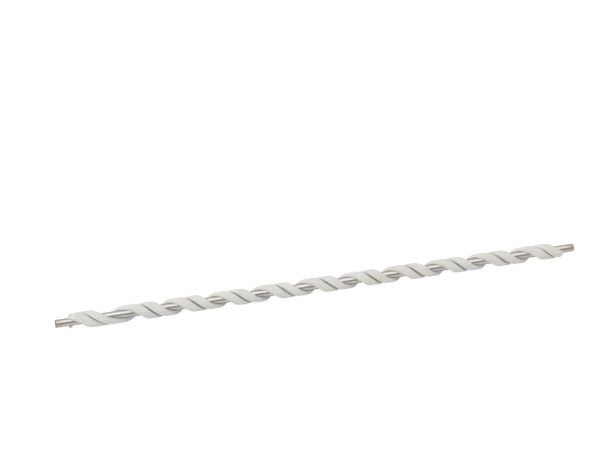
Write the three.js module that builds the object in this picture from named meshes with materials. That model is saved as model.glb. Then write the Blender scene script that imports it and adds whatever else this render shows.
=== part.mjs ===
// A cleaning roller: a plain steel shaft with two foam strips taped on side by side and wound round it as a
// right-handed helix, so that a bare spiral of steel shows between one turn and the next.
//
// Millimetres. The origin is the middle of the shaft's axis, +X runs along the shaft and +Z is up.
// Angles round the shaft are measured from the top (+Z) towards the front (-Y).
//
// A place on a strip is given by its turn in the winding and by `across`, the distance from the seam between
// the strips, measured squarely over the strip on the shaft's surface.

import * as THREE from "three";

const FULL_TURN = 2 * Math.PI;

// Shaft
const SHAFT_LENGTH = 331;
const SHAFT_RADIUS = 2.5;
const SHAFT_CHAMFER = 0.4;
const SHAFT_SEGMENTS = 64;

// Winding. The seam is the line where the two strips meet. The lead is its advance along the shaft per turn:
// it starts at START_LEAD and changes smoothly by each step between the two turns named.
const STATIONS_PER_TURN = 18;
const FIRST_STATION = -13;
const LAST_STATION = 192;
const SEAM_ANGLE = (44.4 * Math.PI) / 180;
const SEAM_AT_TURN_0 = -142.65;
const START_LEAD = 31.7;
const LEAD_STEPS = [
  { change: 7.5, from: -0.1, to: 0.2 },
  { change: -11.33, from: 0.4, to: 0.95 },
  { change: 2.1, from: 8.75, to: 9.25 },
];

// Strips: the side of the seam, the ends in turns at the seam, the width on the shaft, the share of that
// width at the start, and how far the top of the side away from the seam leans out
const STRIP_A = { side: -1, start: -0.401, end: 10.346, width: 4.7, startShare: 1, farLean: -0.56 };
const STRIP_B = { side: 1, start: -0.496, end: 10.332, width: 4.12, startShare: 0.72, farLean: 0.22 };
const NARROW_TURNS = { from: -0.5, to: 1.2 };
const MIN_END_WIDTH = 0.9;

// Layers outwards from the shaft
const LAYER_GAP = 0.02;
const TAPE_THICKNESS = 0.15;
const TAPE_INSET = 0.12;

// Foam. It is a little thicker over the first turns and the last one.
const FOAM_RADIUS = 4.99;
const FIRST_TURNS = { extra: 0.25, from: 1.0, to: 2.1 };
const LAST_TURN = { extra: 0.05, from: 8.2, to: 9.6 };

// Foam section: the strips almost touch at the foot, and a groove with broad rounded shoulders opens above.
// A shoulder climbs steeply to its middle point, given as shares of its width and height, and then flattens.
const SEAM_FOOT_GAP = 0.12;
const SEAM_SHOULDER_GAP = 0.58;
const SEAM_SHOULDER = { width: 0.78, height: 0.7, middleWidth: 0.42, middleHeight: 0.73 };
const FAR_SHOULDER = { width: 0.5, height: 0.75, middleWidth: 0.3, middleHeight: 0.7 };

// The wound layers are flat between stations, so the inner one starts far enough out to clear the shaft.
const TAPE_INNER_RADIUS = SHAFT_RADIUS / Math.cos(Math.PI / STATIONS_PER_TURN) + LAYER_GAP;
const TAPE_OUTER_RADIUS = TAPE_INNER_RADIUS + TAPE_THICKNESS;
const FOAM_INNER_RADIUS = TAPE_OUTER_RADIUS + LAYER_GAP;

/** A number held between 0 and 1 that rises smoothly from `from` to `to`. */
function blend(value, { from, to }) {
  return THREE.MathUtils.smoothstep(value, from, to);
}

/** The area under `blend` up to a value. */
function blendArea(value, { from, to }) {
  const t = Math.max((value - from) / (to - from), 0);
  const inside = Math.min(t, 1);
  return (to - from) * (inside ** 3 - inside ** 4 / 2 + (t - inside));
}

/** How far the seam advances along the shaft per turn, at a place in the winding. */
function leadAt(turn) {
  return LEAD_STEPS.reduce((lead, step) => lead + step.change * blend(turn, step), START_LEAD);
}

/** The seam's place along the shaft. */
function seamAt(turn) {
  const gained = (step) => step.change * (blendArea(turn, step) - blendArea(0, step));
  return LEAD_STEPS.reduce((x, step) => x + gained(step), SEAM_AT_TURN_0 + START_LEAD * turn);
}

/** The foam's outside radius along the winding. */
function foamRadius(turn) {
  const first = FIRST_TURNS.extra * (1 - blend(turn, FIRST_TURNS));
  return FOAM_RADIUS + first + LAST_TURN.extra * blend(turn, LAST_TURN);
}

/** A strip's width on the shaft. It can be narrower over its first turns. */
function stripWidth({ width, startShare }, turn) {
  return width * (startShare + (1 - startShare) * blend(turn, NARROW_TURNS));
}

/**
 * The stations that a strip covers. Its square-cut ends cross several stations, so each station has the part
 * of the strip's width, from near to far, that is there.
 */
function stripStations(strip) {
  const stations = [];
  for (let i = FIRST_STATION; i <= LAST_STATION; i += 1) {
    const turn = i / STATIONS_PER_TURN;
    const climb = leadAt(turn) / (FULL_TURN * SHAFT_RADIUS);
    const slant = Math.hypot(1, climb);
    const acrossPerTurn = (strip.side * FULL_TURN * SHAFT_RADIUS * slant) / climb;
    const startCut = acrossPerTurn * (strip.start - turn);
    const endCut = acrossPerTurn * (strip.end - turn);
    const near = Math.max(0, Math.min(startCut, endCut));
    const far = Math.min(stripWidth(strip, turn), Math.max(startCut, endCut));
    if (far - near >= MIN_END_WIDTH) {
      stations.push({ turn, slant, side: strip.side, near, far });
    }
  }
  return stations;
}

/** A point given by a station, a distance across the strip and a radius. */
function placePoint({ turn, slant, side }, across, radius) {
  const x = seamAt(turn) + side * across * slant;
  const angle = SEAM_ANGLE + FULL_TURN * turn;
  return [x, -radius * Math.sin(angle), radius * Math.cos(angle)];
}

/** The tape's section at a station, as [across, radius] points. */
function tapeSection({ near, far }) {
  return [
    [near + TAPE_INSET, TAPE_INNER_RADIUS],
    [far - TAPE_INSET, TAPE_INNER_RADIUS],
    [far - TAPE_INSET, TAPE_OUTER_RADIUS],
    [near + TAPE_INSET, TAPE_OUTER_RADIUS],
  ];
}

/** A rounded shoulder's three points, from its foot up to the top. It turns towards the given direction. */
function shoulder(foot, direction, top, { width, height, middleWidth, middleHeight }) {
  return [
    [foot, top - height],
    [foot + direction * width * middleWidth, top - height * (1 - middleHeight)],
    [foot + direction * width, top],
  ];
}

/** The foam's section at a station, squeezed into the part of the strip's width that is there. */
function foamSection({ turn, near, far }, { width, farLean }) {
  const top = foamRadius(turn);
  const section = [
    [SEAM_FOOT_GAP, FOAM_INNER_RADIUS],
    [width, FOAM_INNER_RADIUS],
    ...shoulder(width + farLean, -1, top, FAR_SHOULDER),
    ...shoulder(SEAM_SHOULDER_GAP, 1, top, SEAM_SHOULDER).reverse(),
  ];
  const squeeze = (far - near) / width;
  return section.map(([across, radius]) => [near + across * squeeze, radius]);
}

/** The closed body made by joining one section per station, with a flat cap at each end. */
function windingGeometry(stations, sectionAt) {
  const sections = stations.map((station) => sectionAt(station));
  const sides = sections[0].length;
  const positions = sections.flatMap((section, i) =>
    section.flatMap(([across, radius]) => placePoint(stations[i], across, radius)),
  );

  const triangles = [];
  for (let i = 0; i + 1 < sections.length; i += 1) {
    for (let j = 0; j < sides; j += 1) {
      const next = (j + 1) % sides;
      const a = i * sides + j;
      const b = i * sides + next;
      const c = b + sides;
      const d = a + sides;
      // Every side wall is split from its foot at one station to its top at the next, so that the two
      // walls along the seam match.
      if (sections[i][next][1] >= sections[i][j][1]) {
        triangles.push([a, b, c], [a, c, d]);
      } else {
        triangles.push([a, b, d], [b, c, d]);
      }
    }
  }

  const last = (sections.length - 1) * sides;
  for (let j = 1; j + 1 < sides; j += 1) {
    triangles.push([0, j + 1, j], [last, last + j, last + j + 1]);
  }

  // Strip a runs the other way across, so its triangles are turned over to face out.
  const facing = stations[0].side > 0 ? triangles : triangles.map(([a, b, c]) => [a, c, b]);
  const geometry = new THREE.BufferGeometry();
  geometry.setAttribute("position", new THREE.Float32BufferAttribute(positions, 3));
  geometry.setIndex(facing.flat());
  geometry.computeVertexNormals();
  return geometry;
}

/** The round bar, turned about Y and laid along X, with a small chamfer at each end. */
function shaftGeometry() {
  const half = SHAFT_LENGTH / 2;
  const profile = [
    new THREE.Vector2(0, -half),
    new THREE.Vector2(SHAFT_RADIUS - SHAFT_CHAMFER, -half),
    new THREE.Vector2(SHAFT_RADIUS, -half + SHAFT_CHAMFER),
    new THREE.Vector2(SHAFT_RADIUS, half - SHAFT_CHAMFER),
    new THREE.Vector2(SHAFT_RADIUS - SHAFT_CHAMFER, half),
    new THREE.Vector2(0, half),
  ];
  const geometry = new THREE.LatheGeometry(profile, SHAFT_SEGMENTS, Math.PI / SHAFT_SEGMENTS);
  geometry.rotateZ(-Math.PI / 2);
  return geometry;
}

function namedMesh(name, geometry, look) {
  const mesh = new THREE.Mesh(geometry, new THREE.MeshStandardMaterial(look));
  mesh.name = name;
  return mesh;
}

const STEEL = { color: 0xb9b4b0, roughness: 0.28, metalness: 1 };
const TAPE = { color: 0xe6e4da, roughness: 0.6, metalness: 0 };
const FOAM = { color: 0xd9dad5, roughness: 0.95, metalness: 0 };

const group = new THREE.Group();
group.add(namedMesh("shaft", shaftGeometry(), STEEL));
for (const [letter, strip] of [["a", STRIP_A], ["b", STRIP_B]]) {
  const stations = stripStations(strip);
  const tape = windingGeometry(stations, tapeSection);
  const foam = windingGeometry(stations, (station) => foamSection(station, strip));
  group.add(namedMesh(`adhesive_tape_${letter}`, tape, TAPE));
  group.add(namedMesh(`foam_strip_${letter}`, foam, FOAM));
}

export default group;
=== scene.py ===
"""Looks for a cleaning roller: a ground steel shaft with two soft foam strips wound round it side by side.

Lengths in the named values are millimetres, and MM turns them into metres. Angles round the shaft are
measured from the top (+Z) towards the front (-Y), as in the CAD. A place on a strip is given by its turn in
the winding, by how far across the strip it is from the seam, and by how far up from the strip's foot it is.
"""

import math

import bpy
import numpy as np
from mathutils import Matrix, Vector, noise


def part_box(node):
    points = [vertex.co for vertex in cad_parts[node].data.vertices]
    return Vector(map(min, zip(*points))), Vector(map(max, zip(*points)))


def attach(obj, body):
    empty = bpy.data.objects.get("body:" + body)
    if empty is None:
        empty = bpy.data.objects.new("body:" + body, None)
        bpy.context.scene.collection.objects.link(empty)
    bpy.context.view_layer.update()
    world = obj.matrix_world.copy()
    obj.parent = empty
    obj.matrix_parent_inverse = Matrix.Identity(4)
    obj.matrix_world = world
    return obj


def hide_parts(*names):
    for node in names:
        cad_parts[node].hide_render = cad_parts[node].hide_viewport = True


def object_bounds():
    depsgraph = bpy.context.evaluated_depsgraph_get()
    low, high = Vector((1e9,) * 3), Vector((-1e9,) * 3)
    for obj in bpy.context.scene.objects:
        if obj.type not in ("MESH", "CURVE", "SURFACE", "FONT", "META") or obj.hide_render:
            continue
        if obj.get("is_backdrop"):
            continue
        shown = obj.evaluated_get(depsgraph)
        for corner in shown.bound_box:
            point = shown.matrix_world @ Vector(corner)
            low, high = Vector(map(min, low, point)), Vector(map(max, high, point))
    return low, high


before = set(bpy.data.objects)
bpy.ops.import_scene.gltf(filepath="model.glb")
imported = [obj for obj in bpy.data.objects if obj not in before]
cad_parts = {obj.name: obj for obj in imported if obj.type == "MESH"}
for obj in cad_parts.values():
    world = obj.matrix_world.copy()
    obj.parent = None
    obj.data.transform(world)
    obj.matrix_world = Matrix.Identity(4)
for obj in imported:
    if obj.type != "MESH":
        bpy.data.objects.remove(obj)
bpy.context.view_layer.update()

MM = 0.001
TAU = 2 * math.pi

# The shaft and the layers on it, from the frame
SHAFT_LOW, SHAFT_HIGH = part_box("shaft")
SHAFT_LENGTH = (SHAFT_HIGH.x - SHAFT_LOW.x) / MM
SHAFT_RADIUS = round((SHAFT_HIGH.z - SHAFT_LOW.z) / 2 / MM, 2)
TAPE_OUTER_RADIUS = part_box("adhesive_tape_a")[1].z / MM
FOAM_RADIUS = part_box("foam_strip_a")[1].z / MM

# Winding: the seam's angle at whole turns, its place at turn 0, how far it advances per turn at the start,
# and the steps by which that changes: by how much, and between which turns
SEAM_ANGLE = math.radians(44.4)
SEAM_AT_TURN_0 = -142.65
START_LEAD = 31.7
LEAD_STEPS = ((7.5, -0.1, 0.2), (-11.33, 0.4, 0.95), (2.1, 8.75, 9.25))

# Layers outwards from the shaft. The visible tape reaches closer to the foam's edges than the CAD tape.
TAPE_THICKNESS = 0.15
LAYER_GAP = 0.02
TAPE_INSET = 0.04
TAPE_END_INSET = 0.006
TAPE_STATIONS_PER_TURN = 60
TAPE_PROFILE_POINTS = 20

# Foam section, as (width, height) for the rounded parts. Beside the seam stands an upright wall, which
# nearly touches the other strip's. Above it a rounded hollow and a rolled edge form one side of the groove.
FOOT_LIFT = 0.02
SEAM_WALL = 0.03
SEAM_WALL_HEIGHT = 0.55
GROOVE_FILLET = (0.29, 0.30)
GROOVE_OPENING = 0.03
OUTER_SHOULDER = (0.50, 0.75)
SIDE_BULGE = 0.05
TOP_CROWN = 0.03
PROFILE_POINTS = 76

# Foam along the winding. The free ends are rounded in a few steps, then closed by rings that shrink to a
# point.
STATIONS_PER_TURN = 118
END_ROUNDING = 0.35
END_STEPS = 4
CAP_RINGS = 7

# The foam is a little fuller over the first turns and the last one: by how much, and between which turns
FIRST_TURNS = (0.25, 1.0, 2.1)
LAST_TURN = (0.05, 8.2, 9.6)

# Each strip's side of the seam, its ends in turns at the seam, its width on the shaft, the share of that
# width that it starts with, how far the top of its far side leans out, and its rolled edge beside the seam
STRIPS = {
    "a": {
        "side": -1,
        "start": -0.401,
        "end": 10.346,
        "width": 4.70,
        "start_share": 1.0,
        "far_lean": -0.56,
        "seam_shoulder": (0.45, 0.80),
    },
    "b": {
        "side": 1,
        "start": -0.496,
        "end": 10.332,
        "width": 4.12,
        "start_share": 0.72,
        "far_lean": 0.22,
        "seam_shoulder": (1.40, 1.40),
    },
}
NARROW_TURNS = (-0.5, 1.2)

# A strip's start is pressed down a little, and most of all in a dent just after its cut end: the shares of
# the foam's height that this takes, and the dent's place and half length in turns
START_PRESS = 0.10
START_DENT = 0.20
DENT_AFTER_START = 0.07
DENT_HALF = 0.035

# The groove is less open over the first turn and the last: by how much, and between which turns. Across the
# strip, this sets in and fades out again between the two pairs of distances from the seam.
GROOVE_CLOSING = (0.24, (0.3, 1.0), (9.5, 10.0))
CLOSING_SETS_IN = (0.05, 0.45)
CLOSING_FADES = (0.6, 2.0)

# Places where the seam has torn open a little: turn, half length in turns, opening. A tear sets in between
# two heights above the foot and fades between two distances from the seam.
SEAM_TEARS = ((4.02, 0.035, 0.42), (4.95, 0.05, 0.2), (3.0, 0.03, 0.12), (6.98, 0.04, 0.1))
TEAR_SETS_IN = (0.5, 2.0)
TEAR_FADES = (0.2, 1.6)

# Hand-laid edges wander: lumps per turn, how far the far edge moves, and where in the noise that is read
EDGE_WANDER = ((2.3, 0.16, 0), (9.0, 0.09, 3))
EDGE_NOISE_START = 11.0

# The vertex attribute that tells the foam's material how near the seam it is, for the painted shade in the
# groove, and the distances across the strip between which it falls from 1 to 0
SEAM_ATTRIBUTE = "near_seam"
SEAM_SIDE = (1.2, 2.4)

# Unevenness of the foam's surface: size across, height, and where in the noise that is read. It sets in
# between two heights above the foot. The wall beside the seam is left smooth, and the unevenness comes back
# between two distances from the seam and two heights.
SURFACE_SWELLS = ((7.0, 0.055, 2.0), (2.2, 0.035, 5.0), (0.75, 0.030, 9.0))
SWELLS_SET_IN = (0.05, 0.6)
SMOOTH_WALL_ACROSS = (0.05, 0.2)
SMOOTH_WALL_UP = (0.8, 1.0)


def smoothstep(value, low, high):
    """0 below low, 1 above high, and a smooth rise between them. Works on numbers and arrays."""
    t = np.clip((np.asarray(value, float) - low) / (high - low), 0, 1)
    return t * t * (3 - 2 * t)


def smoothstep_area(value, low, high):
    """The area under smoothstep up to a value."""
    t = np.maximum((np.asarray(value, float) - low) / (high - low), 0)
    inside = np.minimum(t, 1)
    return (high - low) * (inside**3 - inside**4 / 2 + (t - inside))


def lead_at(turn):
    """Millimetres the strips advance along the shaft per turn."""
    return START_LEAD + sum(change * smoothstep(turn, low, high) for change, low, high in LEAD_STEPS)


def seam_at(turn):
    """The seam's place along the shaft in millimetres."""
    gained = [
        change * (smoothstep_area(turn, low, high) - smoothstep_area(0, low, high))
        for change, low, high in LEAD_STEPS
    ]
    return SEAM_AT_TURN_0 + START_LEAD * np.asarray(turn) + sum(gained)


def place(turn, across, radius, side):
    """Points in metres, from turns along the winding, distances across the strip, and radii."""
    climb = lead_at(turn) / (TAU * SHAFT_RADIUS)
    slant = np.hypot(1, climb)
    x = seam_at(turn) + side * across / slant
    angle = SEAM_ANGLE + TAU * turn - side * across * (climb / slant) / SHAFT_RADIUS
    return np.stack([x, -radius * np.sin(angle), radius * np.cos(angle)], -1) * MM


def foam_radius(turn):
    """The foam's outside radius along the winding. The CAD foam is thickest at its start."""
    extra, low, high = FIRST_TURNS
    middle = FOAM_RADIUS - extra * smoothstep(turn, low, high)
    extra, low, high = LAST_TURN
    return middle + extra * smoothstep(turn, low, high)


def new_object(name, verts, faces, smooth=True):
    """A mesh object made from vertices in metres and faces, put in the scene."""
    mesh = bpy.data.meshes.new(name)
    mesh.from_pydata([tuple(v) for v in verts], [], faces)
    mesh.validate()
    mesh.polygons.foreach_set("use_smooth", [smooth] * len(mesh.polygons))
    mesh.update()
    made = bpy.data.objects.new(name, mesh)
    bpy.context.scene.collection.objects.link(made)
    return made


def side_faces(rings, points):
    """Quads that join equal rings one after the other."""
    faces = []
    for i in range(rings - 1):
        for j in range(points):
            k = (j + 1) % points
            faces.append((i * points + j, i * points + k, (i + 1) * points + k, (i + 1) * points + j))
    return faces


def band_faces(rings, points):
    """The faces of a thin band, closed at each end from its inner row to its outer row."""
    faces = side_faces(rings, points)
    last = (rings - 1) * points
    for j in range(points // 2 - 1):
        a, b, c, d = j, j + 1, points - 2 - j, points - 1 - j
        faces.append((b, a, d, c))
        faces.append((last + a, last + b, last + c, last + d))
    return faces


def ring_faces(rings, points):
    """The faces of a solid made of rings, closed by a fan over the middle vertex at each end."""
    faces = side_faces(rings, points)
    first_centre = rings * points
    last_centre = first_centre + 1
    last = (rings - 1) * points
    for j in range(points):
        k = (j + 1) % points
        faces.append((first_centre, k, j))
        faces.append((last_centre, last + j, last + k))
    return faces


def resample(outline, count):
    """The closed outline's points spread evenly along it."""
    closed = np.vstack([outline, outline[:1]])
    lengths = np.hypot(*np.diff(closed, axis=0).T)
    along = np.concatenate([[0], np.cumsum(lengths)])
    wanted = np.linspace(0, along[-1], count, endpoint=False)
    return np.stack([np.interp(wanted, along, closed[:, i]) for i in (0, 1)], -1)


def quarter(centre, radii, start_degrees, steps=8):
    """Points of a quarter ellipse turning anticlockwise."""
    turn = np.radians(np.linspace(start_degrees, start_degrees + 90, steps))
    return np.stack([centre[0] + radii[0] * np.cos(turn), centre[1] + radii[1] * np.sin(turn)], -1)


def foam_outline(strip, height):
    """A strip's section: mm across from the seam, and mm up from its foot.

    On the seam side it rises as an upright wall, parts in a rounded hollow and ends in a rolled edge. The
    far side leans in or out by the strip's own amount, with a rolled edge too.
    """
    seam_wall = np.stack([np.full(5, SEAM_WALL), np.linspace(0, SEAM_WALL_HEIGHT, 5)], -1)
    hollow = quarter((SEAM_WALL, SEAM_WALL_HEIGHT + GROOVE_FILLET[1]), GROOVE_FILLET, 270)
    roll_width, roll_height = strip["seam_shoulder"]
    roll_x = hollow[-1, 0] + GROOVE_OPENING
    seam_roll = quarter((roll_x + roll_width, height - roll_height), (roll_width, roll_height), 90)

    wall = np.linspace(0, 1, 9)
    far_height = height - OUTER_SHOULDER[1]
    far_x = strip["width"] + strip["far_lean"] * wall + SIDE_BULGE * np.sin(math.pi * wall)
    far_wall = np.stack([far_x, far_height * wall], -1)
    far_roll = quarter((far_x[-1] - OUTER_SHOULDER[0], far_height), OUTER_SHOULDER, 0)

    crown = np.linspace(0, 1, 9)[1:-1]
    top_x = far_roll[-1, 0] + (seam_roll[0, 0] - far_roll[-1, 0]) * crown
    top = np.stack([top_x, height + TOP_CROWN * np.sin(math.pi * crown)], -1)
    return np.vstack([far_wall, far_roll[1:], top, seam_roll, hollow[::-1], seam_wall[-2::-1]])


def noise_at(points, size, offset=0.0):
    """Smooth noise, about -1 to 1, whose lumps are size mm across."""
    scale = 1 / (size * MM)
    shift = Vector((offset, offset * 1.7, offset * 0.3))
    return np.array([noise.noise(Vector(p) * scale + shift) for p in points])


def noise_along(turns, lumps_per_turn, offset):
    """Smooth noise, about -1 to 1, along the winding."""
    return np.array([noise.noise(Vector((t * lumps_per_turn, offset, 0.5))) for t in turns])


def strip_stations(strip, step):
    """Turns along the strip and the size each section keeps: full in the middle, drawn in at the ends."""
    path = math.hypot(START_LEAD, TAU * SHAFT_RADIUS)
    rounding = END_ROUNDING / path
    body = np.arange(strip["start"] + rounding, strip["end"] - rounding, step)

    sweep = np.linspace(0, math.pi / 2, END_STEPS + 1)[1:]
    rounded = 1 - (1 - np.cos(sweep)) * END_ROUNDING / strip["width"] * 2
    cap = rounded[-1] * np.arange(CAP_RINGS - 1, 0, -1) / CAP_RINGS
    end_sizes = np.concatenate([rounded, cap])
    reach = np.concatenate([rounding * np.sin(sweep), np.full(len(cap), rounding)])

    turns = np.concatenate([body[0] - reach[::-1], body, body[-1] + reach])
    sizes = np.concatenate([end_sizes[::-1], np.ones_like(body), end_sizes])
    return turns, sizes


def start_width(strip, turn):
    """The share of its full width that a strip has along its first turns."""
    return 1 - (1 - strip["start_share"]) * (1 - smoothstep(turn, *NARROW_TURNS))


def wavy_edges(turn, across, strip):
    """Hand-laid strips wander a little: the far edge most, the seam edge hardly."""
    noise_start = EDGE_NOISE_START * strip["side"]
    wander = sum(
        reach * noise_along(turn, lumps, noise_start + shift) for lumps, reach, shift in EDGE_WANDER
    )
    return across + across / strip["width"] * wander[:, None]


def close_groove(turn, across):
    """Draws the groove's side towards the seam near the winding's ends."""
    closing, first, last = GROOVE_CLOSING
    closed = closing * (1 - smoothstep(turn, *first) + smoothstep(turn, *last))
    groove_side = smoothstep(across, *CLOSING_SETS_IN) * (1 - smoothstep(across, *CLOSING_FADES))
    return across - closed[:, None] * groove_side


def tear_seam(turn, across, up):
    """Draws the groove's side away from the seam at the tears."""
    upper = smoothstep(up, *TEAR_SETS_IN)
    for where, half, opening in SEAM_TEARS:
        torn = opening * np.exp(-(((turn - where) / half) ** 2))
        near_seam = 1 - smoothstep(across, *TEAR_FADES)
        across = across + torn[:, None] * upper * near_seam
    return across


def press_start(strip, turn, up):
    """Presses a strip down at its start, with a dent just after the cut end."""
    after_start = turn - strip["start"]
    dent = np.exp(-(((after_start - DENT_AFTER_START) / DENT_HALF) ** 2))
    pressed = START_PRESS * (1 - smoothstep(after_start, 0, DENT_AFTER_START))
    return up * (1 - pressed - START_DENT * dent)[:, None]


def facing_out(strip, faces):
    """The faces as they are, or turned over for the strip that runs the other way across."""
    return faces if strip["side"] > 0 else [tuple(reversed(face)) for face in faces]


def build_foam(letter, strip):
    """One foam strip: its section swept along the winding, then roughened like cut foam."""
    turn, size = strip_stations(strip, 1 / STATIONS_PER_TURN)
    foot = TAPE_OUTER_RADIUS + LAYER_GAP + FOOT_LIFT
    base_height = FOAM_RADIUS - foot
    outline = resample(foam_outline(strip, base_height), PROFILE_POINTS)
    middle = np.array([strip["width"] / 2, base_height / 2])
    sections = middle + (outline - middle)[None] * size[:, None, None]

    up = sections[..., 1] * ((foam_radius(turn) - foot) / base_height)[:, None]
    across = sections[..., 0] * start_width(strip, turn)[:, None]
    across = wavy_edges(turn, across, strip)
    across = close_groove(turn, across)
    across = tear_seam(turn, across, up)
    up = press_start(strip, turn, up)

    points = place(turn[:, None], across, foot + up, strip["side"])
    verts = np.vstack([points.reshape(-1, 3), points[0].mean(0), points[-1].mean(0)])
    faces = facing_out(strip, ring_faces(len(turn), PROFILE_POINTS))
    foam = new_object(f"foam_{letter}", verts, faces)
    mark_seam_side(foam, across)
    roughen(foam, up, across)
    return foam


def mark_seam_side(foam, across):
    """Stores on each vertex how near the seam it is, for the foam's painted seam shade. The end points have
    0.
    """
    nearness = np.append(1 - smoothstep(across, *SEAM_SIDE), [0, 0])
    foam.data.attributes.new(SEAM_ATTRIBUTE, "FLOAT", "POINT").data.foreach_set("value", nearness)


def roughen(foam, up, across):
    """Moves each vertex along its normal. The foot and the wall beside the seam stay where they are."""
    count = len(foam.data.vertices)
    normals = np.zeros(count * 3, np.float32)
    foam.data.vertex_normals.foreach_get("vector", normals)
    normals = normals.reshape(-1, 3)
    co = np.zeros(count * 3, np.float32)
    foam.data.vertices.foreach_get("co", co)
    co = co.reshape(-1, 3)
    seam_wall = (1 - smoothstep(across, *SMOOTH_WALL_ACROSS)) * (1 - smoothstep(up, *SMOOTH_WALL_UP))
    free = np.append(smoothstep(up, *SWELLS_SET_IN) * (1 - seam_wall), [0, 0])
    lift = sum(height * noise_at(co, size, offset) for size, height, offset in SURFACE_SWELLS)
    co += normals * (lift * free * MM)[:, None].astype(np.float32)
    foam.data.vertices.foreach_set("co", co.ravel())
    foam.data.update()


def build_tape(letter, strip):
    """The thin double-sided tape under a strip, a hair narrower than the foam."""
    low, high = SEAM_WALL + TAPE_INSET, strip["width"] - TAPE_INSET
    flat = np.linspace(low, high, TAPE_PROFILE_POINTS // 2)
    outline = np.vstack([
        np.stack([flat, np.zeros_like(flat)], -1),
        np.stack([flat[::-1], np.full_like(flat, TAPE_THICKNESS)], -1),
    ])
    first, last = strip["start"] + TAPE_END_INSET, strip["end"] - TAPE_END_INSET
    turn = np.arange(first, last, 1 / TAPE_STATIONS_PER_TURN)
    across = wavy_edges(turn, outline[None, :, 0], strip) * start_width(strip, turn)[:, None]
    radius = TAPE_OUTER_RADIUS - TAPE_THICKNESS + outline[None, :, 1]
    points = place(turn[:, None], across, radius, strip["side"])
    faces = facing_out(strip, band_faces(len(turn), len(outline)))
    return new_object(f"tape_{letter}", points.reshape(-1, 3), faces)


# Shaft
SHAFT_SEGMENTS = 144
SHAFT_RING_STEP = 4.0
CHAMFER = 0.42
EDGE_ROUND = 0.06


def shaft_profile():
    """(x, radius) from the left face's rim to the right face's rim: chamfers with softly broken edges."""
    half = SHAFT_LENGTH / 2
    left = [
        (-half, SHAFT_RADIUS - CHAMFER - EDGE_ROUND),
        (-half + EDGE_ROUND * 0.3, SHAFT_RADIUS - CHAMFER - EDGE_ROUND * 0.3),
        (-half + EDGE_ROUND, SHAFT_RADIUS - CHAMFER + EDGE_ROUND * 0.4),
        (-half + CHAMFER - EDGE_ROUND, SHAFT_RADIUS - EDGE_ROUND * 1.2),
        (-half + CHAMFER, SHAFT_RADIUS - EDGE_ROUND * 0.4),
        (-half + CHAMFER + EDGE_ROUND * 1.6, SHAFT_RADIUS),
    ]
    start = left[-1][0]
    rings = np.arange(start + SHAFT_RING_STEP, -start - SHAFT_RING_STEP / 2, SHAFT_RING_STEP)
    middle = [(x, SHAFT_RADIUS) for x in rings]
    right = [(-x, r) for x, r in reversed(left)]
    return left + middle + right


def build_shaft():
    """The ground bar, as a lathe mesh with flat end faces."""
    profile = shaft_profile()
    turn = np.arange(SHAFT_SEGMENTS) * TAU / SHAFT_SEGMENTS
    verts = [(x * MM, -r * MM * math.sin(a), r * MM * math.cos(a)) for x, r in profile for a in turn]
    half = SHAFT_LENGTH / 2 * MM
    verts += [(-half, 0, 0), (half, 0, 0)]
    shaft = new_object("shaft_ground", verts, ring_faces(len(profile), SHAFT_SEGMENTS))
    for polygon in shaft.data.polygons:
        if len(polygon.vertices) == 3:
            polygon.use_smooth = False
    return shaft


# Materials


class Nodes:
    """A short way to add and join shader nodes."""

    def __init__(self, tree):
        self.tree = tree
        tree.nodes.clear()

    def add(self, kind, inputs=None, **settings):
        node = self.tree.nodes.new(kind)
        for key, value in settings.items():
            setattr(node, key, value)
        for key, value in (inputs or {}).items():
            if isinstance(value, bpy.types.NodeSocket):
                self.tree.links.new(value, node.inputs[key])
            else:
                node.inputs[key].default_value = value
        return node

    def ramp(self, factor, stops):
        """A colour that follows the factor through (position, colour) stops."""
        node = self.add("ShaderNodeValToRGB", {"Fac": factor})
        elements = node.color_ramp.elements
        while len(elements) < len(stops):
            elements.new(0.5)
        for element, (position, value) in zip(elements, stops):
            element.position = position
            element.color = value if len(value) == 4 else (*value, 1)
        return node.outputs["Color"]

    def mix(self, factor, first, second, blend="MIX"):
        """The first colour going over to the second. The node's inputs 6 and 7 and output 2 are colours."""
        node = self.add("ShaderNodeMix", data_type="RGBA", blend_type=blend)
        for key, value in ((0, factor), (6, first), (7, second)):
            if isinstance(value, bpy.types.NodeSocket):
                self.tree.links.new(value, node.inputs[key])
            else:
                node.inputs[key].default_value = value if key == 0 or len(value) == 4 else (*value, 1)
        return node.outputs[2]

    def multiply(self, first, second):
        return self.mix(1.0, first, second, "MULTIPLY")

    def share(self, value, low, high):
        """0 at low and 1 at high, in a straight line between them."""
        node = self.add("ShaderNodeMapRange", {"Value": value, "From Min": low, "From Max": high})
        return node.outputs["Result"]

    def axis(self, where, name):
        return self.add("ShaderNodeSeparateXYZ", {"Vector": where}).outputs[name]

    def along_shaft(self, where, left, right):
        """A tint that changes evenly from the shaft's left end to its right end."""
        half = SHAFT_LENGTH / 2 * MM
        return self.mix(self.share(self.axis(where, "X"), -half, half), left, right)

    def math(self, operation, a, b=0.0):
        node = self.add("ShaderNodeMath", {0: a, 1: b}, operation=operation)
        return node.outputs[0]


def grey(value):
    return (value, value, value, 1)


def material(name):
    made = bpy.data.materials.new(name)
    made.use_nodes = True
    return made, Nodes(made.node_tree)


# Foam: two shades of grey, a warmer patch colour and its strength, and tints at the left and right ends
FOAM_SHADES = ((0.584, 0.580, 0.545), (0.640, 0.637, 0.610))
FOAM_PATCH = (0.632, 0.610, 0.552)
FOAM_PATCH_STRENGTH = 0.45
FOAM_LEFT_TINT = (0.992, 0.996, 1.010)
FOAM_RIGHT_TINT = (0.975, 0.960, 0.960)

# Painted shade deep in the seam's groove: its tint, and the radii between which that fades out
SEAM_SHADE_TINT = (0.65, 0.64, 0.61)
SEAM_SHADE_RADII = (3.4, 4.0)


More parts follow.
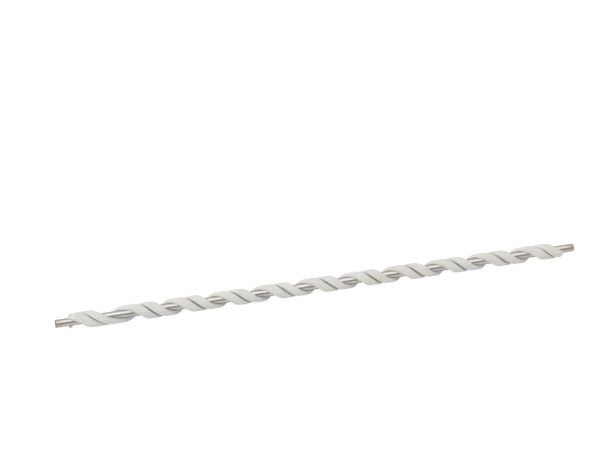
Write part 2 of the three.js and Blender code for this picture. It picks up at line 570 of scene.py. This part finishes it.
def paint_seam_shade(n, where, unshaded):
    """Paints shade into the foam's colour deep in the groove between the strips."""
    y, z = n.axis(where, "Y"), n.axis(where, "Z")
    radius = n.math("SQRT", n.math("ADD", n.math("MULTIPLY", y, y), n.math("MULTIPLY", z, z)))
    low, high = (radius_mm * MM for radius_mm in SEAM_SHADE_RADII)
    depth = n.math("SUBTRACT", 1.0, n.share(radius, low, high))
    near_seam = n.add("ShaderNodeAttribute", attribute_name=SEAM_ATTRIBUTE).outputs["Fac"]
    return n.mix(n.math("MULTIPLY", depth, near_seam), unshaded, n.multiply(unshaded, SEAM_SHADE_TINT))


def foam_material():
    """Pale grey urethane foam: fine open cells, slow mottling, faint warm patches, quite matt."""
    made, n = material("urethane_foam")
    where = n.add("ShaderNodeTexCoord").outputs["Object"]
    patches = n.add("ShaderNodeTexNoise", {"Vector": where, "Scale": 130, "Detail": 3, "Roughness": 0.55})
    base = n.ramp(patches.outputs["Fac"], [(0.30, FOAM_SHADES[0]), (0.70, FOAM_SHADES[1])])
    stains = n.add("ShaderNodeTexNoise", {"Vector": where, "Scale": 55, "Detail": 2})
    warm = n.ramp(stains.outputs["Fac"], [(0.42, grey(0)), (0.72, grey(1))])
    coloured = n.mix(n.math("MULTIPLY", warm, FOAM_PATCH_STRENGTH), base, FOAM_PATCH)
    coloured = n.multiply(coloured, n.along_shaft(where, FOAM_LEFT_TINT, FOAM_RIGHT_TINT))

    cells = n.add("ShaderNodeTexVoronoi", {"Vector": where, "Scale": 2300, "Randomness": 1})
    # The cell centres, the pits of the bump, are darkened: painted shade in the open cells
    cell_shade = n.ramp(cells.outputs["Distance"], [(0.0, grey(0.86)), (0.38, grey(1.0))])
    grain = n.add("ShaderNodeTexNoise", {"Vector": where, "Scale": 900, "Detail": 4, "Roughness": 0.65})
    speckle = n.ramp(grain.outputs["Fac"], [(0.3, grey(0.94)), (0.7, grey(1.04))])
    # The foam's colour gets painted shade deep in the groove beside the seam
    colour = paint_seam_shade(n, where, n.multiply(n.multiply(coloured, cell_shade), speckle))

    relief = n.math("ADD", cells.outputs["Distance"], n.math("MULTIPLY", grain.outputs["Fac"], 0.6))
    bump = n.add("ShaderNodeBump", {"Strength": 0.55, "Distance": 0.12 * MM, "Height": relief})
    shader = n.add("ShaderNodeBsdfPrincipled", {
        "Base Color": colour, "Roughness": 0.94, "Specular IOR Level": 0.18,
        "Sheen Weight": 0.12, "Sheen Roughness": 0.6, "Normal": bump.outputs["Normal"],
    })
    n.add("ShaderNodeOutputMaterial", {"Surface": shader.outputs["BSDF"]})
    return made


# Steel: two shades each of the plating and of the darker, warmer ends, a warm blush, the chamfers' painted
# dark reflection and how much rougher they are, and painted reflection tints at the left and right ends
PLATED_SHADES = ((0.500, 0.482, 0.458), (0.560, 0.550, 0.532))
END_SHADES = ((0.450, 0.400, 0.368), (0.520, 0.472, 0.442))
STEEL_BLUSH = (0.540, 0.492, 0.455)
CHAMFER_DARK_REFLECTION = (0.16, 0.15, 0.14)
CHAMFER_ROUGHNESS = 0.20
STEEL_LEFT_REFLECTION_TINT = (0.995, 1.010, 1.010)
STEEL_RIGHT_REFLECTION_TINT = (0.985, 0.945, 0.915)

# Where the darker ends and the painted dark chamfers begin and are fully there, as shares of the shaft's
# half length
END_FROM, END_BY = 0.955, 0.985
CHAMFER_FROM, CHAMFER_BY = 0.9948, 0.9972


def steel_material():
    """Ground and plated steel: bright, with hair-fine marks round the bar and darker, warmer ends."""
    made, n = material("ground_steel")
    where = n.add("ShaderNodeTexCoord").outputs["Object"]
    from_middle = n.math("DIVIDE", n.math("ABSOLUTE", n.axis(where, "X")), SHAFT_LENGTH / 2 * MM)
    tip = n.ramp(from_middle, [(END_FROM, grey(0)), (END_BY, grey(1))])
    rim = n.ramp(from_middle, [(CHAMFER_FROM, grey(0)), (CHAMFER_BY, grey(1))])

    clouds = n.add("ShaderNodeTexNoise", {"Vector": where, "Scale": 210, "Detail": 3}).outputs["Fac"]
    plated = n.ramp(clouds, [(0.32, PLATED_SHADES[0]), (0.68, PLATED_SHADES[1])])
    end_colour = n.ramp(clouds, [(0.32, END_SHADES[0]), (0.68, END_SHADES[1])])
    blush = n.add("ShaderNodeTexNoise", {"Vector": where, "Scale": 24, "Detail": 1}).outputs["Fac"]
    plated = n.mix(n.ramp(blush, [(0.45, grey(0)), (0.70, grey(0.35))]), plated, STEEL_BLUSH)
    colour = n.mix(tip, plated, end_colour)
    # Painted reflection tint: the steel grows warmer and darker towards the right end, standing in for
    # warmer reflected light
    colour = n.multiply(colour, n.along_shaft(where, STEEL_LEFT_REFLECTION_TINT, STEEL_RIGHT_REFLECTION_TINT))
    # The chamfers are painted nearly black: a painted dark reflection
    colour = n.mix(rim, colour, CHAMFER_DARK_REFLECTION)

    stretched = n.add("ShaderNodeMapping", {"Vector": where, "Scale": (9000, 260, 260)}).outputs["Vector"]
    marks = n.add("ShaderNodeTexNoise", {"Vector": stretched, "Scale": 1, "Detail": 3}).outputs["Fac"]
    colour = n.multiply(colour, n.ramp(marks, [(0.35, grey(0.90)), (0.65, grey(1.0))]))
    rough = n.add("ShaderNodeMapRange", {"Value": marks, "To Min": 0.13, "To Max": 0.24}).outputs["Result"]
    roughness = n.math("ADD", rough, n.math("MULTIPLY", rim, CHAMFER_ROUGHNESS))
    bump = n.add("ShaderNodeBump", {"Strength": 0.12, "Distance": 0.01 * MM, "Height": marks})
    shader = n.add("ShaderNodeBsdfPrincipled", {
        "Base Color": colour, "Metallic": 1.0, "Roughness": roughness, "Normal": bump.outputs["Normal"],
    })
    n.add("ShaderNodeOutputMaterial", {"Surface": shader.outputs["BSDF"]})
    return made


def tape_material():
    """Thin whitish film, slightly yellow and creased."""
    made, n = material("adhesive_tape")
    where = n.add("ShaderNodeTexCoord").outputs["Object"]
    haze = n.add("ShaderNodeTexNoise", {"Vector": where, "Scale": 400, "Detail": 4})
    colour = n.ramp(haze.outputs["Fac"], [(0.3, (0.62, 0.60, 0.52)), (0.7, (0.74, 0.73, 0.67))])
    wave = n.add("ShaderNodeTexWave", {"Vector": where, "Scale": 260, "Distortion": 6, "Detail": 3})
    creases = wave.outputs["Fac"]
    bump = n.add("ShaderNodeBump", {"Strength": 0.3, "Distance": 0.03 * MM, "Height": creases})
    shader = n.add("ShaderNodeBsdfPrincipled", {
        "Base Color": colour, "Roughness": 0.42, "Normal": bump.outputs["Normal"],
    })
    n.add("ShaderNodeOutputMaterial", {"Surface": shader.outputs["BSDF"]})
    return made


# Stage. The floor's size is in metres.
FLOOR_SIZE = 12.0
FLOOR_ALBEDO = 0.88
FLOOR_SEEN_ALBEDO = 0.18
FLOOR_SEEN_GLOW = 0.90
BACKGROUND = 1.0

# Light from the two ends of the shaft, and the shares of the way from left to right where each fades in
LEFT_LIGHT = 1.62
RIGHT_LIGHT = 0.74
LEFT_FULL, LEFT_NONE, RIGHT_NONE, RIGHT_FULL = 0.20, 0.42, 0.66, 0.81

# Studio light by elevation, in degrees over the top from the front horizon (0) to the back horizon (180)
STUDIO_LIGHT = (
    (-5, 0.68), (12, 0.56), (30, 0.46), (44, 0.50), (54, 0.85), (66, 1.80),
    (90, 1.98), (105, 1.35), (125, 1.02), (150, 0.72), (170, 0.55), (185, 0.5),
)


def build_floor(height):
    """A plain pale floor. The camera sees it nearly white, and its bounce light is a little lower."""
    half = FLOOR_SIZE / 2
    corners = [(-half, -half, height), (half, -half, height), (half, half, height), (-half, half, height)]
    floor = new_object("floor", corners, [(0, 1, 2, 3)], smooth=False)
    made, n = material("pale_floor")
    bounce = n.add("ShaderNodeBsdfDiffuse", {"Color": grey(FLOOR_ALBEDO)})
    seen = n.add("ShaderNodeBsdfDiffuse", {"Color": grey(FLOOR_SEEN_ALBEDO)})
    glow = n.add("ShaderNodeEmission", {"Color": grey(1), "Strength": FLOOR_SEEN_GLOW})
    bright = n.add("ShaderNodeAddShader", {0: seen.outputs[0], 1: glow.outputs[0]})
    path = n.add("ShaderNodeLightPath").outputs["Is Camera Ray"]
    mixed = n.add("ShaderNodeMixShader", {0: path, 1: bounce.outputs[0], 2: bright.outputs[0]})
    n.add("ShaderNodeOutputMaterial", {"Surface": mixed.outputs[0]})
    floor.data.materials.append(made)
    floor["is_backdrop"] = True
    return floor


def build_light():
    """A plain soft studio: broad light overhead, softer behind, dimmer in front, and light from the left."""
    world = bpy.data.worlds.new("studio")
    bpy.context.scene.world = world
    world.use_nodes = True
    n = Nodes(world.node_tree)
    direction = n.add("ShaderNodeTexCoord").outputs["Generated"]
    front = n.math("MULTIPLY", n.axis(direction, "Y"), -1.0)
    elevation = n.math("ARCTAN2", n.axis(direction, "Z"), front)
    share = n.math("ADD", n.math("DIVIDE", elevation, TAU), 0.25)
    brightest = max(level for _, level in STUDIO_LIGHT)
    stops = [(degrees / 360 + 0.25, grey(level / brightest)) for degrees, level in STUDIO_LIGHT]
    overhead = n.math("MULTIPLY", n.ramp(share, stops), brightest)

    to_right = n.math("ADD", n.math("MULTIPLY", n.axis(direction, "X"), 0.5), 0.5)
    at_side = n.ramp(to_right, [
        (LEFT_FULL, grey(1)), (LEFT_NONE, grey(0)), (RIGHT_NONE, grey(0)), (RIGHT_FULL, grey(1)),
    ])
    on_right = n.math("GREATER_THAN", to_right, 0.5)
    lit = n.mix(at_side, overhead, n.mix(on_right, grey(LEFT_LIGHT), grey(RIGHT_LIGHT)))
    camera_ray = n.add("ShaderNodeLightPath").outputs["Is Camera Ray"]
    shown = n.mix(camera_ray, lit, grey(BACKGROUND))
    background = n.add("ShaderNodeBackground", {"Color": shown, "Strength": 1.0})
    n.add("ShaderNodeOutputWorld", {"Surface": background.outputs[0]})


# Camera: a tele lens 45 degrees above and a little to the left, aimed past the roller so that it sits low in
# the frame. The lens and the sensor are in millimetres and the roll is in degrees.
CAMERA_LENS = 78.95
CAMERA_SENSOR = 36.0
CAMERA_PLACE = (-118.9, -570.7, 583.7)
CAMERA_TARGET = (-1.13, 62.57, -5.21)
CAMERA_ROLL = -0.9


def build_camera():
    """The camera at its place, turned to its target and rolled a little."""
    data = bpy.data.cameras.new("camera")
    data.lens = CAMERA_LENS
    data.sensor_width = CAMERA_SENSOR
    data.clip_start = 0.01
    data.clip_end = 50
    camera = bpy.data.objects.new("camera", data)
    bpy.context.scene.collection.objects.link(camera)
    place_at = Vector(CAMERA_PLACE) * MM
    look = Vector(CAMERA_TARGET) * MM - place_at
    turn = look.to_track_quat("-Z", "Y").to_matrix().to_4x4()
    roll = Matrix.Rotation(math.radians(CAMERA_ROLL), 4, "Z")
    camera.matrix_world = Matrix.Translation(place_at) @ turn @ roll
    bpy.context.scene.camera = camera


def finish_piece(piece, made, node):
    """Gives a piece its material, puts it under the root body and hides the CAD node that it stands for."""
    piece.data.materials.append(made)
    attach(piece, "root")
    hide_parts(node)


foam_look, steel_look, tape_look = foam_material(), steel_material(), tape_material()
finish_piece(build_shaft(), steel_look, "shaft")
for letter, strip in STRIPS.items():
    finish_piece(build_tape(letter, strip), tape_look, f"adhesive_tape_{letter}")
    finish_piece(build_foam(letter, strip), foam_look, f"foam_strip_{letter}")

build_floor(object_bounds()[0].z)
build_light()
build_camera()
bpy.context.scene.view_settings.view_transform = "Standard"
